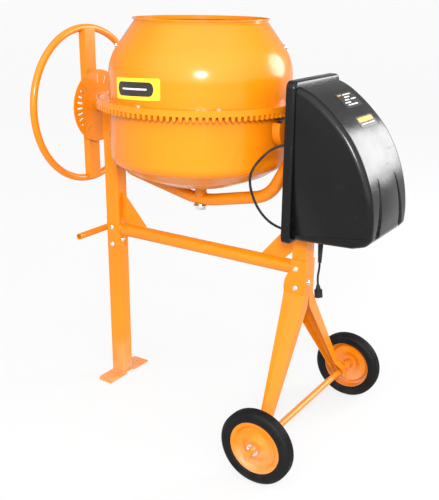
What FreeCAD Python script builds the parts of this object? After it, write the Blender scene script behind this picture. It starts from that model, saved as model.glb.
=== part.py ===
import FreeCAD, Part
import Sketcher
import math
import os

# Electric concrete mixer on a two-wheeled stand, in millimetres.
# Sizes are given about the drum's axis (X = 0); every sub-part is then moved by frame_shift,
# so that the origin lies on the floor below the middle of the whole machine.
# -X is the tilting handwheel's side, +X the motor's side, -Y the front, +Z up.

V = FreeCAD.Vector
DIRECTIONS = {"X": V(1, 0, 0), "-X": V(-1, 0, 0), "Y": V(0, 1, 0), "-Y": V(0, -1, 0),
              "Z": V(0, 0, 1)}

DIMS = {
    "frame_shift": -82.0,
    # stand, left side
    "foot_x": -367.0, "foot_width": 68.0, "foot_long": 222.0, "foot_thick": 6.0,
    "foot_hole_radius": 6.0, "foot_hole_spacing": 168.0, "foot_notch_radius": 24.0,
    "leg_wall": 4.0, "leg_x": -340.0, "leg_front": -28.0, "leg_back": 26.0,
    "lower_leg_top": 622.0, "upper_leg_low": 519.0, "upper_leg_top": 1052.0,
    "upper_leg_left": -394.0, "lower_leg_left": -398.0,
    "cross_height": 580.0, "cross_radius": 23.0, "tube_wall": 2.5,
    "gusset_thick": 4.0, "handle_x": -409.0, "handle_radius": 11.0, "handle_half": 161.0,
    # tilting axis
    "tilt_height": 1016.0, "trunnion_radius": 12.5, "running_gap": 0.05,
    "disc_x": -438.0, "disc_thick": 4.0, "disc_radius": 123.0, "slot_inner": 79.0,
    "slot_outer": 108.0, "slot_half": 3.2,
    # stand, right side
    "post_left": 364.0, "post_size": 50.0, "post_foot": 500.0, "bearing_radius": 30.0,
    "axle_x": 429.0, "axle_height": 120.0, "axle_radius": 11.0, "axle_half": 384.0,
    "wheel_radius": 120.0, "wheel_y": 325.0, "tyre_half": 22.5, "rim_radius": 84.0,
    # housing
    "lip_x": 385.0, "lip_end": 413.0, "lip_half": 145.0, "lip_low": 700.0, "lip_high": 1172.0,
    "shell_half": 136.0, "shell_wall": 3.0, "panel_x": 418.0,
    # yoke and drum
    "arm_radius": 20.0, "left_arm_x": -317.0, "right_arm_x": 342.0, "yoke_low": 749.0,
    "drum_radius": 290.0, "sheet": 2.5, "mouth_radius": 208.0, "mouth_height": 1323.0,
    "neck_height": 1312.0, "shoulder_height": 1201.0, "ring_top": 1086.0, "ring_radius": 330.0,
    "ring_low": 1069.0, "ring_inner": 296.0, "tooth_tip": 1054.5, "tooth_inner": 303.0,
    "ring_teeth": 110, "pinion_teeth": 16, "pinion_root": 35.5, "pinion_tip": 50.5,
    "bowl_low": 890.0, "bowl_foot": 800.0, "shaft_radius": 12.5,
    # handwheel
    "wheel_plane": -484.0, "hand_radius": 260.0, "hand_tube": 12.0, "spoke_x": -462.0,
    "spoke_deep": 28.0, "spoke_half": 25.0, "spoke_wall": 3.0, "spoke_x_end": -490.0,
    # drive
    "drive_radius": 10.0, "pulley_radius": 112.0, "pulley_x": 430.0, "pulley_wide": 16.0,
    "motor_x": 470.0, "motor_height": 812.0, "motor_radius": 62.0, "small_pulley": 11.0,
}

os.makedirs("parts", exist_ok=True)
doc = FreeCAD.newDocument("concrete_mixer")
sheet = doc.addObject("Spreadsheet::Sheet", "Dims")
for row, (alias, value) in enumerate(DIMS.items(), start=1):
    sheet.set(f"A{row}", alias)
    sheet.set(f"B{row}", str(value))
    sheet.setAlias(f"B{row}", alias)
doc.recompute()
sub_parts = []
cords = []


def dim(alias):
    return float(sheet.get(alias))


def bind(obj, **sizes):
    for prop, size in sizes.items():
        obj.setExpression(prop.replace("__", "."), str(size))


def place(obj, x=0, y=0, z=0, along="Z", spin=0):
    turn = FreeCAD.Rotation(V(0, 0, 1), DIRECTIONS[along]) if isinstance(along, str) else along
    obj.Placement = FreeCAD.Placement(V(0, 0, 0), turn * FreeCAD.Rotation(V(0, 0, 1), spin))
    obj.setExpression("Placement.Base.x", str(x))
    obj.setExpression("Placement.Base.y", str(y))
    obj.setExpression("Placement.Base.z", str(z))
    return obj


def rod(radius, length, x=0, y=0, z=0, along="Z"):
    obj = doc.addObject("Part::Cylinder", "rod")
    bind(obj, Radius=radius, Height=length)
    return place(obj, x, y, z, along)


def bar(length, width, height, x=0, y=0, z=0, along="Z", spin=0):
    obj = doc.addObject("Part::Box", "bar")
    bind(obj, Length=length, Width=width, Height=height)
    return place(obj, x, y, z, along, spin)


def cone(low_radius, high_radius, length, x=0, y=0, z=0, along="Z"):
    obj = doc.addObject("Part::Cone", "cone")
    bind(obj, Radius1=low_radius, Radius2=high_radius, Height=length)
    return place(obj, x, y, z, along)


def torus(main_radius, tube_radius, x=0, y=0, z=0, along="Z"):
    obj = doc.addObject("Part::Torus", "ring")
    bind(obj, Radius1=main_radius, Radius2=tube_radius)
    return place(obj, x, y, z, along)


def fuse(*shapes):
    obj = doc.addObject("Part::MultiFuse", "fuse")
    obj.Shapes = list(shapes)
    return obj


def group(*shapes):
    obj = doc.addObject("Part::Compound", "group")
    obj.Links = list(shapes)
    return obj


def cut(base, *tools):
    obj = doc.addObject("Part::Cut", "cut")
    obj.Base = base
    obj.Tool = tools[0] if len(tools) == 1 else fuse(*tools)
    return obj


def tube(radius, bore, length, x=0, y=0, z=0, along="Z"):
    return cut(rod(radius, length, x, y, z, along), rod(bore, length, x, y, z, along))


def rounded(base, radius, wanted):
    # fillet every edge of the base whose centre and direction the function accepts
    doc.recompute()
    obj = doc.addObject("Part::Fillet", "rounded")
    obj.Base = base
    edges = []
    for number, edge in enumerate(base.Shape.Edges, start=1):
        if wanted(edge):
            edges.append((number, radius, radius))
    obj.Edges = edges
    return obj


def sub_part(obj, label):
    own = dict(obj.ExpressionEngine).get("Placement.Base.x")
    if own is None:
        own = dict(obj.ExpressionEngine).get(".Placement.Base.x", "0")
    obj.setExpression("Placement.Base.x", f"{own} + Dims.frame_shift")
    obj.Label = label
    sub_parts.append(obj)
    return obj


def body(name):
    return doc.addObject("PartDesign::Body", name)


def plane_of(owner, role):
    for feature in owner.Origin.OriginFeatures:
        if feature.Role == role:
            return feature


def outline(owner, points, role="XZ_Plane", offset="0"):
    # closed straight-sided sketch; every corner is held by its two distances from the origin
    sketch = owner.newObject("Sketcher::SketchObject", "outline")
    sketch.AttachmentSupport = [(plane_of(owner, role), "")]
    sketch.MapMode = "FlatFace"
    sketch.setExpression("AttachmentOffset.Base.z", offset)
    values = [tuple(float(sheet.evalExpression(str(c))) for c in point) for point in points]
    count = len(points)
    for here in range(count):
        start = V(*values[here], 0)
        end = V(*values[(here + 1) % count], 0)
        sketch.addGeometry(Part.LineSegment(start, end), False)
    for here in range(count):
        sketch.addConstraint(Sketcher.Constraint("Coincident", here, 2, (here + 1) % count, 1))
    for here, point in enumerate(points):
        for kind, size, value in zip(("DistanceX", "DistanceY"), point, values[here]):
            added = sketch.addConstraint(Sketcher.Constraint(kind, -1, 1, here, 1, value))
            sketch.setExpression(f"Constraints[{added}]", str(size))
    return sketch


def turned(name, points):
    # solid of revolution about Z from a closed outline of (radius, height) corners
    owner = body(name)
    sketch = outline(owner, points)
    feature = owner.newObject("PartDesign::Revolution", "turned")
    feature.Profile = sketch
    feature.ReferenceAxis = (sketch, ["V_Axis"])
    feature.Angle = 360
    sketch.Visibility = False
    return owner


def plate(name, points, depth, role="XZ_Plane", offset="0", midplane=True):
    owner = body(name)
    sketch = outline(owner, points, role, offset)
    feature = owner.newObject("PartDesign::Pad", "plate")
    feature.Profile = sketch
    feature.setExpression("Length", str(depth))
    if midplane:
        feature.SideType = "Symmetric"
    return owner


def soften(owner, radius, wanted):
    # round the edges of a body's last feature that the function accepts
    doc.recompute()
    tip = owner.Tip
    names = []
    for number, edge in enumerate(tip.Shape.Edges, start=1):
        if wanted(edge):
            names.append(f"Edge{number}")
    feature = owner.newObject("PartDesign::Fillet", "soften")
    feature.Base = (tip, names)
    feature.setExpression("Radius", str(radius))
    return feature


def ring_edge(radius, height, reach=0.6):
    def wanted(edge):
        curve = edge.Curve
        if not isinstance(curve, Part.Circle):
            return False
        return abs(curve.Radius - radius) < reach and abs(curve.Center.z - height) < reach
    return wanted


def rounded_route(points, bends):
    edges = []
    here = points[0]
    for index in range(1, len(points) - 1):
        before = (points[index - 1] - points[index]).normalize()
        after = (points[index + 1] - points[index]).normalize()
        half = before.getAngle(after) / 2
        reach = bends[index - 1] / math.tan(half)
        start = points[index] + before * reach
        end = points[index] + after * reach
        middle_way = (before + after).normalize()
        centre = points[index] + middle_way * (bends[index - 1] / math.sin(half))
        middle = centre - middle_way * bends[index - 1]
        if (start - here).Length > 1e-6:
            edges.append(Part.LineSegment(here, start).toShape())
        edges.append(Part.Arc(start, middle, end).toShape())
        here = end
    edges.append(Part.LineSegment(here, points[-1]).toShape())
    return Part.Wire(edges)


def swept_rod(route, radius):
    first = route.Shape.Edges[0]
    start = first.Vertexes[0].Point
    tangent = first.tangentAt(first.FirstParameter)
    turn = FreeCAD.Rotation(V(0, 0, 1), tangent)
    ring = doc.addObject("Part::Circle", "section")
    ring.setExpression("Radius", str(radius))
    ring.Placement = FreeCAD.Placement(start, turn)
    sweep = doc.addObject("Part::Sweep", "swept")
    sweep.Sections = [ring]
    sweep.Spine = (route, [f"Edge{n}" for n in range(1, len(route.Shape.Edges) + 1)])
    sweep.Solid = True
    sweep.Frenet = False
    return sweep


def swept_tube(route, radius, bore):
    return cut(swept_rod(route, radius), swept_rod(route, bore))


def foot_plate():
    half = "Dims.foot_long / 2"
    left = "Dims.foot_x - Dims.foot_width / 2"
    right = "Dims.foot_x + Dims.foot_width / 2"
    owner = plate("foot", [
        (left, f"-({half}) + 14"), (f"{left} + 10", f"-({half})"), (right, f"-({half})"),
        (right, half), (f"{left} + 4", half), (left, f"{half} - 4"),
    ], "Dims.foot_thick", "XY_Plane", midplane=False)
    holes = []
    for side in (-1, 1):
        holes.append(rod("Dims.foot_hole_radius", "Dims.foot_thick", "Dims.foot_x",
                         f"{side} * Dims.foot_hole_spacing / 2"))
    notch = rod("Dims.foot_notch_radius", "Dims.foot_thick", f"{right} + 8", "6")
    sub_part(cut(owner, notch, *holes), "foot_plate")


def angle_section(name, left, corner, front, back, low, high):
    # L-shaped post: one flange facing the front, one facing the drum
    owner = plate(name, [
        (left, front), (corner, front), (corner, back), (f"{corner} - Dims.leg_wall", back),
        (f"{corner} - Dims.leg_wall", f"{front} + Dims.leg_wall"),
        (left, f"{front} + Dims.leg_wall"),
    ], f"{high} - {low}", "XY_Plane", low, midplane=False)
    return owner


def corner_edge(x, y):
    def wanted(edge):
        middle = edge.valueAt((edge.FirstParameter + edge.LastParameter) / 2)
        upright = abs(edge.tangentAt(edge.FirstParameter).z) > 0.99
        return upright and abs(middle.x - x) < 0.2 and abs(middle.y - y) < 0.2
    return wanted


def left_legs():
    nest = "Dims.leg_wall"
    lower = angle_section("lower", "Dims.lower_leg_left", f"Dims.leg_x - {nest}",
                          f"Dims.leg_front + {nest}", "Dims.leg_back", "Dims.foot_thick",
                          "Dims.lower_leg_top")
    soften(lower, "7", corner_edge(dim("leg_x") - dim("leg_wall"),
                                   dim("leg_front") + dim("leg_wall")))
    soften(lower, "3", corner_edge(dim("leg_x") - 2 * dim("leg_wall"),
                                   dim("leg_front") + 2 * dim("leg_wall")))
    upper = angle_section("upper", "Dims.upper_leg_left", "Dims.leg_x", "Dims.leg_front",
                          "Dims.leg_back - 4", "Dims.upper_leg_low", "Dims.upper_leg_top")
    soften(upper, "11", corner_edge(dim("leg_x"), dim("leg_front")))
    soften(upper, "7", corner_edge(dim("leg_x") - dim("leg_wall"),
                                   dim("leg_front") + dim("leg_wall")))
    bolts = leg_bolt_places()
    sub_part(cut(lower, *leg_bolt_holes(bolts)), "left_lower_leg")
    shaft_hole = rod("Dims.trunnion_radius + 1", "20", "Dims.leg_x - 10", "0",
                     "Dims.tilt_height", "X")
    notch = bar("12", "12", "30", "Dims.leg_x - 6", "-2", "Dims.upper_leg_low - 12")
    sub_part(cut(upper, shaft_hole, notch, *leg_bolt_holes(bolts)), "left_upper_leg")


def leg_bolt_places():
    return [("-373", "Dims.leg_front", "588", "Y"), ("-373", "Dims.leg_front", "524", "Y"),
            ("Dims.leg_x", "-8", "544", "-X")]


def leg_bolt_holes(places):
    holes = []
    for x, y, z, along in places:
        back = {"Y": (x, f"{y} - 2"), "-X": (f"{x} + 2", y)}[along]
        holes.append(rod("4.5", "2 * Dims.leg_wall + 4", back[0], back[1], z, along))
    return holes


def carriage_bolt(x, y, z, along, grip):
    # domed head outside, square-shouldered shank and a hexagon nut inside
    step = DIRECTIONS[along]
    parts = []
    for first, length, low_radius, high_radius in (
            (-1.6, 1.6, 9, 9), (-4.6, 3, 5.5, 9), (0, grip + 13, 4, 4)):
        base = [f"{c} + {first * d}" for c, d in zip((x, y, z), step)]
        if low_radius == high_radius:
            parts.append(rod(low_radius, length, *base, along))
        else:
            parts.append(cone(low_radius, high_radius, length, *base, along))
    base = [f"{c} + {grip * d}" for c, d in zip((x, y, z), step)]
    nut_blank = doc.addObject("Part::Prism", "nut")
    bind(nut_blank, Circumradius="7.5", Height="6.5")
    nut_blank.Polygon = 6
    place(nut_blank, *base, along)
    hole = rod("4", "6.5", *base, along)
    return [fuse(*parts), cut(nut_blank, hole)]


def left_leg_bolts():
    pieces = []
    for x, y, z, along in leg_bolt_places():
        pieces += carriage_bolt(x, y, z, along, 2 * dim("leg_wall"))
    sub_part(group(*pieces), "left_leg_bolts")


def crossbar_and_gussets():
    length = "Dims.post_left - Dims.leg_x"
    bar_tube = tube("Dims.cross_radius", "Dims.cross_radius - Dims.tube_wall", length,
                    "Dims.leg_x", "0", "Dims.cross_height", "X")
    sub_part(bar_tube, "crossbar")
    seat = "Dims.cross_height + Dims.cross_radius"
    sub_part(plate("left_gusset", [
        ("Dims.leg_x", "717"), ("Dims.leg_x", f"{seat} + 24"), ("-318", seat),
        ("-236", seat), ("-236", f"{seat} + 6"), ("-334", "717"),
    ], "Dims.gusset_thick"), "left_gusset")
    sub_part(plate("right_gusset", [
        ("244", seat), ("325", seat), ("352", f"{seat} + 26"), ("Dims.post_left", f"{seat} + 26"),
        ("Dims.post_left", "730"), ("358", "730"), ("310", "684"), ("244", f"{seat} + 5"),
    ], "Dims.gusset_thick"), "right_gusset")


def push_handle():
    handle = tube("Dims.handle_radius", "Dims.handle_radius - 1.8", "2 * Dims.handle_half",
                  "Dims.handle_x", "-Dims.handle_half", "Dims.cross_height", "Y")
    sub_part(handle, "push_handle")


def locking_disc():
    disc = rod("Dims.disc_radius", "Dims.disc_thick", "Dims.disc_x", "0", "Dims.tilt_height", "X")
    tools = [rod("Dims.trunnion_radius + 1", "Dims.disc_thick", "Dims.disc_x", "0",
                 "Dims.tilt_height", "X")]
    pitch = 11.25
    steps = list(range(-5, 5)) + [8, 10] + list(range(12, 22))
    for step in steps:
        angle = step * pitch
        turn = FreeCAD.Rotation(V(1, 0, 0), 180 - angle)
        tool = doc.addObject("Part::Box", "slot")
        bind(tool, Length="Dims.disc_thick", Width="Dims.slot_outer - Dims.slot_inner",
             Height="2 * Dims.slot_half")
        corner = turn.multVec(V(0, dim("slot_inner"), -dim("slot_half")))
        tool.Placement = FreeCAD.Placement(corner, turn)
        tool.setExpression("Placement.Base.x", "Dims.disc_x")
        tool.setExpression("Placement.Base.z", f"Dims.tilt_height + {corner.z}")
        tools.append(tool)
    sub_part(cut(disc, *tools), "locking_disc")


def trunnion_bearings():
    left = tube("20", "Dims.trunnion_radius + Dims.running_gap",
                "Dims.leg_x - Dims.leg_wall - Dims.disc_x - Dims.disc_thick",
                "Dims.disc_x + Dims.disc_thick", "0", "Dims.tilt_height", "X")
    right = tube("Dims.bearing_radius", "Dims.arm_radius + Dims.running_gap",
                 "Dims.post_size - 4", "Dims.post_left + 2", "0", "Dims.tilt_height", "X")
    sub_part(group(left, right), "trunnion_bearings")


def right_post():
    half = "Dims.post_size / 2"
    top = "Dims.tilt_height - 4"
    outer = bar("Dims.post_size", "Dims.post_size", f"{top} - Dims.post_foot",
                "Dims.post_left", f"-({half})", "Dims.post_foot")
    inner = bar("Dims.post_size - 2 * Dims.tube_wall", "Dims.post_size - 2 * Dims.tube_wall",
                f"{top} - Dims.post_foot", "Dims.post_left + Dims.tube_wall",
                f"-({half}) + Dims.tube_wall", "Dims.post_foot")
    saddle = rod("Dims.bearing_radius", "Dims.post_size + 4", "Dims.post_left - 2", "0",
                 "Dims.tilt_height", "X")
    sub_part(cut(outer, inner, saddle, *post_bolt_holes()), "right_post")


def post_bolt_places():
    web = "-(Dims.post_size / 2) - 3"
    back = "Dims.post_size / 2 + 3"
    side = "Dims.post_left + Dims.post_size + 3"
    return [("378", web, "584", "Y"), ("380", web, "520", "Y"),
            ("378", back, "584", "-Y"), ("380", back, "520", "-Y"),
            (side, "-10", "541", "-X")]


def post_bolt_holes():
    holes = []
    for x, y, z, along in post_bolt_places():
        back = {"Y": (x, f"{y} - 2"), "-Y": (x, f"{y} + 2"), "-X": (f"{x} + 2", y)}[along]
        holes.append(rod("4.5", "14", back[0], back[1], z, along))
    return holes


def post_bolts():
    pieces = []
    for x, y, z, along in post_bolt_places():
        pieces += carriage_bolt(x, y, z, along, 3 + dim("tube_wall"))
    sub_part(group(*pieces), "post_bolts")


def leg_section(name, side, height, left, crease, right, web, lean, deep, wall=3.0):
    # C-section in the horizontal plane: creased web outwards, both flanges towards the post
    points = [V(left, web - lean, 0), V(crease, web, 0), V(right, web, 0), V(right, web - deep, 0),
              V(right - wall, web - deep, 0), V(right - wall, web - wall, 0),
              V(crease, web - wall, 0), V(left + wall, web - lean - wall, 0),
              V(left + wall, web - deep, 0), V(left, web - deep, 0)]
    points = [V(p.x, side * p.y, height) for p in points]
    wire = doc.addObject("Part::Feature", name)
    wire.Shape = Part.makePolygon(points + [points[0]])
    return wire


def wheel_leg(label, side):
    # tapered channel: an eared plate on the post, then a leg splayed outwards to the axle
    web = dim("post_size") / 2 + 3
    right = dim("post_left") + dim("post_size") + 3
    rows = [(500, 340, 372, right, web, 0.2, web - 0.5), (455, 345, 376, right, 55, 4, 46),
            (165, 389, 396, 424, 246, 3.5, 27), (138, 399, 406, 446, 263, 3, 28),
            (96, 405, 412, 446, 291, 2, 30)]
    lofts = []
    for low, high in zip(rows, rows[1:]):
        loft = doc.addObject("Part::Loft", "splay")
        loft.Sections = [leg_section("section", side, *row) for row in (low, high)]
        loft.Solid = True
        loft.Ruled = True
        lofts.append(loft)
    middle = f"{side} * ({web} - 1.5)"
    ear = plate("ear", [
        ("340", "500"), ("339", "524"), ("342", "543"), ("348", "558"), ("Dims.post_left - 3", "580"),
        ("Dims.post_left - 3", "615"), (str(right), "615"), (str(right), "500"),
    ], "3", "XZ_Plane", f"-({middle})")
    flange = bar("3", f"{web} - 0.5", "115", f"{right} - 3",
                 "0.5" if side > 0 else f"-{web}", "500")
    bore = rod("Dims.axle_radius", "80", "Dims.axle_x", f"{side} * 290 - 40",
               "Dims.axle_height", "Y")
    sub_part(cut(fuse(ear, flange, *lofts), bore, *post_bolt_holes()), label)


def axle():
    shaft = rod("Dims.axle_radius", "2 * Dims.axle_half", "Dims.axle_x", "-Dims.axle_half",
                "Dims.axle_height", "Y")
    pin_holes = []
    for side in (-1, 1):
        pin_holes.append(rod("2.2", "30", "Dims.axle_x", f"{side} * (Dims.axle_half - 9)",
                             "Dims.axle_height - 15"))
    sub_part(cut(shaft, *pin_holes), "axle")


def wheel_retainers():
    # one washer and one split pin on each end of the axle
    pieces = []
    for side in (-1, 1):
        pieces.append(tube("19", "Dims.axle_radius + 0.3", "2.5", "Dims.axle_x",
                           f"{side} * (Dims.wheel_y + 25.5) - 1.25", "Dims.axle_height", "Y"))
        pin = rod("1.8", "34", "Dims.axle_x", f"{side} * (Dims.axle_half - 9)",
                  "Dims.axle_height - 18")
        eye = torus("3.6", "1.6", "Dims.axle_x", f"{side} * (Dims.axle_half - 9)",
                    "Dims.axle_height + 18.5", "X")
        pieces.append(fuse(pin, eye))
    sub_part(group(*pieces), "wheel_retainers")


def road_wheel(label, side):
    middle = f"{side} * Dims.wheel_y"
    tyre = body(label + "_tyre")
    sketch = outline(tyre, [
        ("Dims.rim_radius", "-Dims.tyre_half + 5"), ("Dims.rim_radius + 7", "-Dims.tyre_half"),
        ("Dims.wheel_radius - 9", "-Dims.tyre_half"), ("Dims.wheel_radius", "-Dims.tyre_half + 7"),
        ("Dims.wheel_radius", "Dims.tyre_half - 7"), ("Dims.wheel_radius - 9", "Dims.tyre_half"),
        ("Dims.rim_radius + 7", "Dims.tyre_half"), ("Dims.rim_radius", "Dims.tyre_half - 5"),
    ], "XY_Plane")
    spin(tyre, sketch)
    place(tyre, "Dims.axle_x", middle, "Dims.axle_height")
    sub_part(tyre, label + "_tyre")
    disc = body(label + "_disc")
    inner = "Dims.axle_radius + Dims.running_gap"
    out = -side
    sketch = outline(disc, [
        (inner, f"{-out} * 24"), (inner, f"{out} * 24"), ("Dims.axle_radius + 6", f"{out} * 24"),
        ("Dims.axle_radius + 6", f"{-out} * 13"), ("26", f"{-out} * 13"), ("46", f"{-out} * 3"),
        ("66", f"{-out} * 3"), ("74", f"{-out} * 13"), ("Dims.rim_radius - 2", f"{-out} * 13"),
        ("Dims.rim_radius - 2", f"{out} * 15"), ("Dims.rim_radius", f"{out} * 15"),
        ("Dims.rim_radius", f"{-out} * 15.5"), ("73", f"{-out} * 15.5"),
        ("65", f"{-out} * 5.5"), ("47", f"{-out} * 5.5"), ("27", f"{-out} * 15.5"),
        ("Dims.axle_radius + 6", f"{-out} * 15.5"), ("Dims.axle_radius + 6", f"{-out} * 24"),
    ], "XY_Plane")
    spin(disc, sketch)
    place(disc, "Dims.axle_x", middle, "Dims.axle_height")
    sub_part(disc, label + "_disc")


def spin(owner, sketch):
    feature = owner.newObject("PartDesign::Revolution", "turned")
    feature.Profile = sketch
    feature.ReferenceAxis = (sketch, ["V_Axis"])
    feature.Angle = 360
    sketch.Visibility = False


def housing_profile():
    return [
        ("Dims.lip_end - 4", "712"), ("605", "721"), ("642", "732"), ("661", "752"),
        ("662", "798"), ("656", "852"), ("644", "902"), ("626", "950"), ("603", "995"),
        ("571", "1041"), ("521", "1091"), ("469", "1131"), ("Dims.lip_end - 4", "1158"),
    ]


def housing_cover():
    sketch = doc.addObject("Sketcher::SketchObject", "cover_side")
    sketch.Placement = FreeCAD.Placement(V(0, 0, 0), FreeCAD.Rotation(V(1, 0, 0), 90))
    hold_corners(sketch, housing_profile())
    outer = doc.addObject("Part::Extrusion", "cover_block")
    outer.Base = sketch
    outer.DirMode = "Normal"
    outer.Solid = True
    outer.Symmetric = True
    outer.setExpression("LengthFwd", "2 * Dims.shell_half")
    smooth = rounded(outer, 11.0, long_side_edge)
    inset = doc.addObject("Part::Offset2D", "cover_inset")
    inset.Source = sketch
    inset.setExpression("Value", "-Dims.shell_wall")
    inset.Mode = "Pipe"
    inset.Join = "Intersection"
    hollow = doc.addObject("Part::Extrusion", "cover_hollow")
    hollow.Base = inset
    hollow.DirMode = "Normal"
    hollow.Solid = True
    hollow.Symmetric = True
    hollow.setExpression("LengthFwd", "2 * (Dims.shell_half - Dims.shell_wall)")
    mouth = bar("30", "2 * (Dims.shell_half - 8)", "436", "Dims.lip_end - 18",
                "-Dims.shell_half + 8", "717")
    lip = bar("Dims.lip_end - Dims.lip_x", "2 * Dims.lip_half", "Dims.lip_high - Dims.lip_low",
              "Dims.lip_x", "-Dims.lip_half", "Dims.lip_low")
    lip = rounded(lip, 14.0, along_x_edge)
    lip_hollow = bar("Dims.lip_end - Dims.lip_x - Dims.shell_wall",
                     "2 * (Dims.lip_half - Dims.shell_wall)",
                     "Dims.lip_high - Dims.lip_low - 2 * Dims.shell_wall", "Dims.lip_x",
                     "-Dims.lip_half + Dims.shell_wall", "Dims.lip_low + Dims.shell_wall")
    lip_hollow = rounded(lip_hollow, 11.0, along_x_edge)
    notch = bar("30.5", "72", "30", "Dims.lip_x - 0.5", "-36", "Dims.lip_low - 5")
    cord_hole = rod("9.5", "30", "464", "-34", "700")
    shell = cut(fuse(smooth, lip), hollow, mouth, lip_hollow, notch, cord_hole)
    sub_part(shell, "housing_cover")


def long_side_edge(edge):
    middle = edge.valueAt((edge.FirstParameter + edge.LastParameter) / 2)
    across = abs(edge.tangentAt(edge.FirstParameter).y) > 0.99
    return not across and abs(middle.x - dim("lip_end") + 4) > 1.5 and middle.x > dim("lip_end")


def along_x_edge(edge):
    return abs(edge.tangentAt(edge.FirstParameter).x) > 0.99


def hold_corners(sketch, points):
    values = [tuple(float(sheet.evalExpression(c)) for c in point) for point in points]
    count = len(points)
    for here in range(count):
        end = values[(here + 1) % count]
        sketch.addGeometry(Part.LineSegment(V(*values[here], 0), V(*end, 0)), False)
    for here in range(count):
        sketch.addConstraint(Sketcher.Constraint("Coincident", here, 2, (here + 1) % count, 1))
    for here, point in enumerate(points):
        for kind, size, value in zip(("DistanceX", "DistanceY"), point, values[here]):
            added = sketch.addConstraint(Sketcher.Constraint(kind, -1, 1, here, 1, value))
            sketch.setExpression(f"Constraints[{added}]", size)


def housing_back():
    panel = bar("3", "2 * (Dims.lip_half - 15)", "430", "Dims.panel_x - 3",
                "-Dims.lip_half + 15", "718")
    hole = rod("14", "3", "Dims.panel_x - 3", "0", "Dims.tilt_height", "X")
    wires = []
    for y, z in lead_holes():
        wires.append(rod("6", "3", "Dims.panel_x - 3", y, z, "X"))
    sub_part(cut(panel, hole, *wires), "housing_back")


def lead_holes():
    return [("-112", "995"), ("-98", "728")]


def housing_screws():
    # pan-head screws that hold the back panel to the cover, three down each long side
    pieces = []
    for side in (-1, 1):
        for height in (760, 950, 1125):
            pieces.append(rod("4.5", "3", "Dims.panel_x - 6", f"{side} * (Dims.lip_half - 24)",
                              height, "X"))
    sub_part(group(*pieces), "housing_screws")


def motor():
    can = rod("Dims.motor_radius", "128", "Dims.motor_x", "0", "Dims.motor_height", "X")
    bore = rod("6 + Dims.running_gap", "128", "Dims.motor_x", "0", "Dims.motor_height", "X")
    fins = []
    for angle in range(0, 360, 20):
        turn = FreeCAD.Rotation(V(1, 0, 0), angle)
        fin = doc.addObject("Part::Box", "fin")
        bind(fin, Length="90", Width="2.5", Height="6")
        corner = turn.multVec(V(0, -1.25, dim("motor_radius") - 1.0))
        fin.Placement = FreeCAD.Placement(corner, turn)
        fin.setExpression("Placement.Base.x", "Dims.motor_x + 20")
        fin.setExpression("Placement.Base.z", f"Dims.motor_height + {corner.z}")
        fins.append(fin)
    sub_part(cut(fuse(can, *fins), bore), "motor")


def motor_bracket():
    face = bar("4", "120", "145", "Dims.motor_x - 4", "-60", "735")
    hole = rod("9", "4", "Dims.motor_x - 4", "0", "Dims.motor_height", "X")
    sides = []
    for low in ("-60", "56"):
        sides.append(bar("Dims.motor_x - 4 - Dims.panel_x", "4", "145", "Dims.panel_x", low, "735"))
    sub_part(fuse(cut(face, hole), *sides), "motor_bracket")


def rotor():
    shaft = rod("6", "140", "428", "0", "Dims.motor_height", "X")
    sub_part(shaft, "motor_shaft")
    pulley = body("small_pulley")
    sketch = outline(pulley, [
        ("6", "0"), ("15", "0"), ("15", "1.8"), ("Dims.small_pulley", "1.8"),
        ("Dims.small_pulley", "Dims.pulley_wide - 1.8"), ("15", "Dims.pulley_wide - 1.8"),
        ("15", "Dims.pulley_wide"), ("6", "Dims.pulley_wide"),
    ])
    spin(pulley, sketch)
    place(pulley, "Dims.pulley_x", "0", "Dims.motor_height", "X")
    sub_part(pulley, "motor_pulley")


def drive_train():
    shaft = rod("Dims.drive_radius", "149", "303", "0", "Dims.tilt_height", "X")
    sub_part(shaft, "drive_shaft")
    big = body("big_pulley")
    sketch = outline(big, [
        ("Dims.drive_radius", "-2"), ("22", "-2"), ("22", "6"), ("Dims.pulley_radius - 6", "6"),
        ("Dims.pulley_radius - 6", "0"), ("Dims.pulley_radius + 3", "0"),
        ("Dims.pulley_radius + 3", "1.8"), ("Dims.pulley_radius", "1.8"),
        ("Dims.pulley_radius", "Dims.pulley_wide - 1.8"),
        ("Dims.pulley_radius + 3", "Dims.pulley_wide - 1.8"),
        ("Dims.pulley_radius + 3", "Dims.pulley_wide"),
        ("Dims.pulley_radius - 6", "Dims.pulley_wide"), ("Dims.pulley_radius - 6", "10"),
        ("22", "10"), ("22", "20"), ("Dims.drive_radius", "20"),
    ])
    spin(big, sketch)
    place(big, "Dims.pulley_x", "0", "Dims.tilt_height", "X")
    sub_part(big, "large_pulley")


def toothed(owner, sketch_points, reach, count, offset, first_angle):
    # straight tooth padded outwards from a plane beside the axis, repeated round Z
    sketch = outline(owner, sketch_points, "YZ_Plane", offset)
    pad = owner.newObject("PartDesign::Pad", "tooth")
    pad.Profile = sketch
    pad.setExpression("Length", str(reach))
    pattern = owner.newObject("PartDesign::PolarPattern", "teeth")
    pattern.Originals = [pad]
    pattern.Axis = (plane_of(owner, "Z_Axis"), [""])
    pattern.Angle = 360
    owner.Tip = pattern
    pattern.setExpression("Occurrences", count)
    sketch.Visibility = False
    return first_angle


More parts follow.
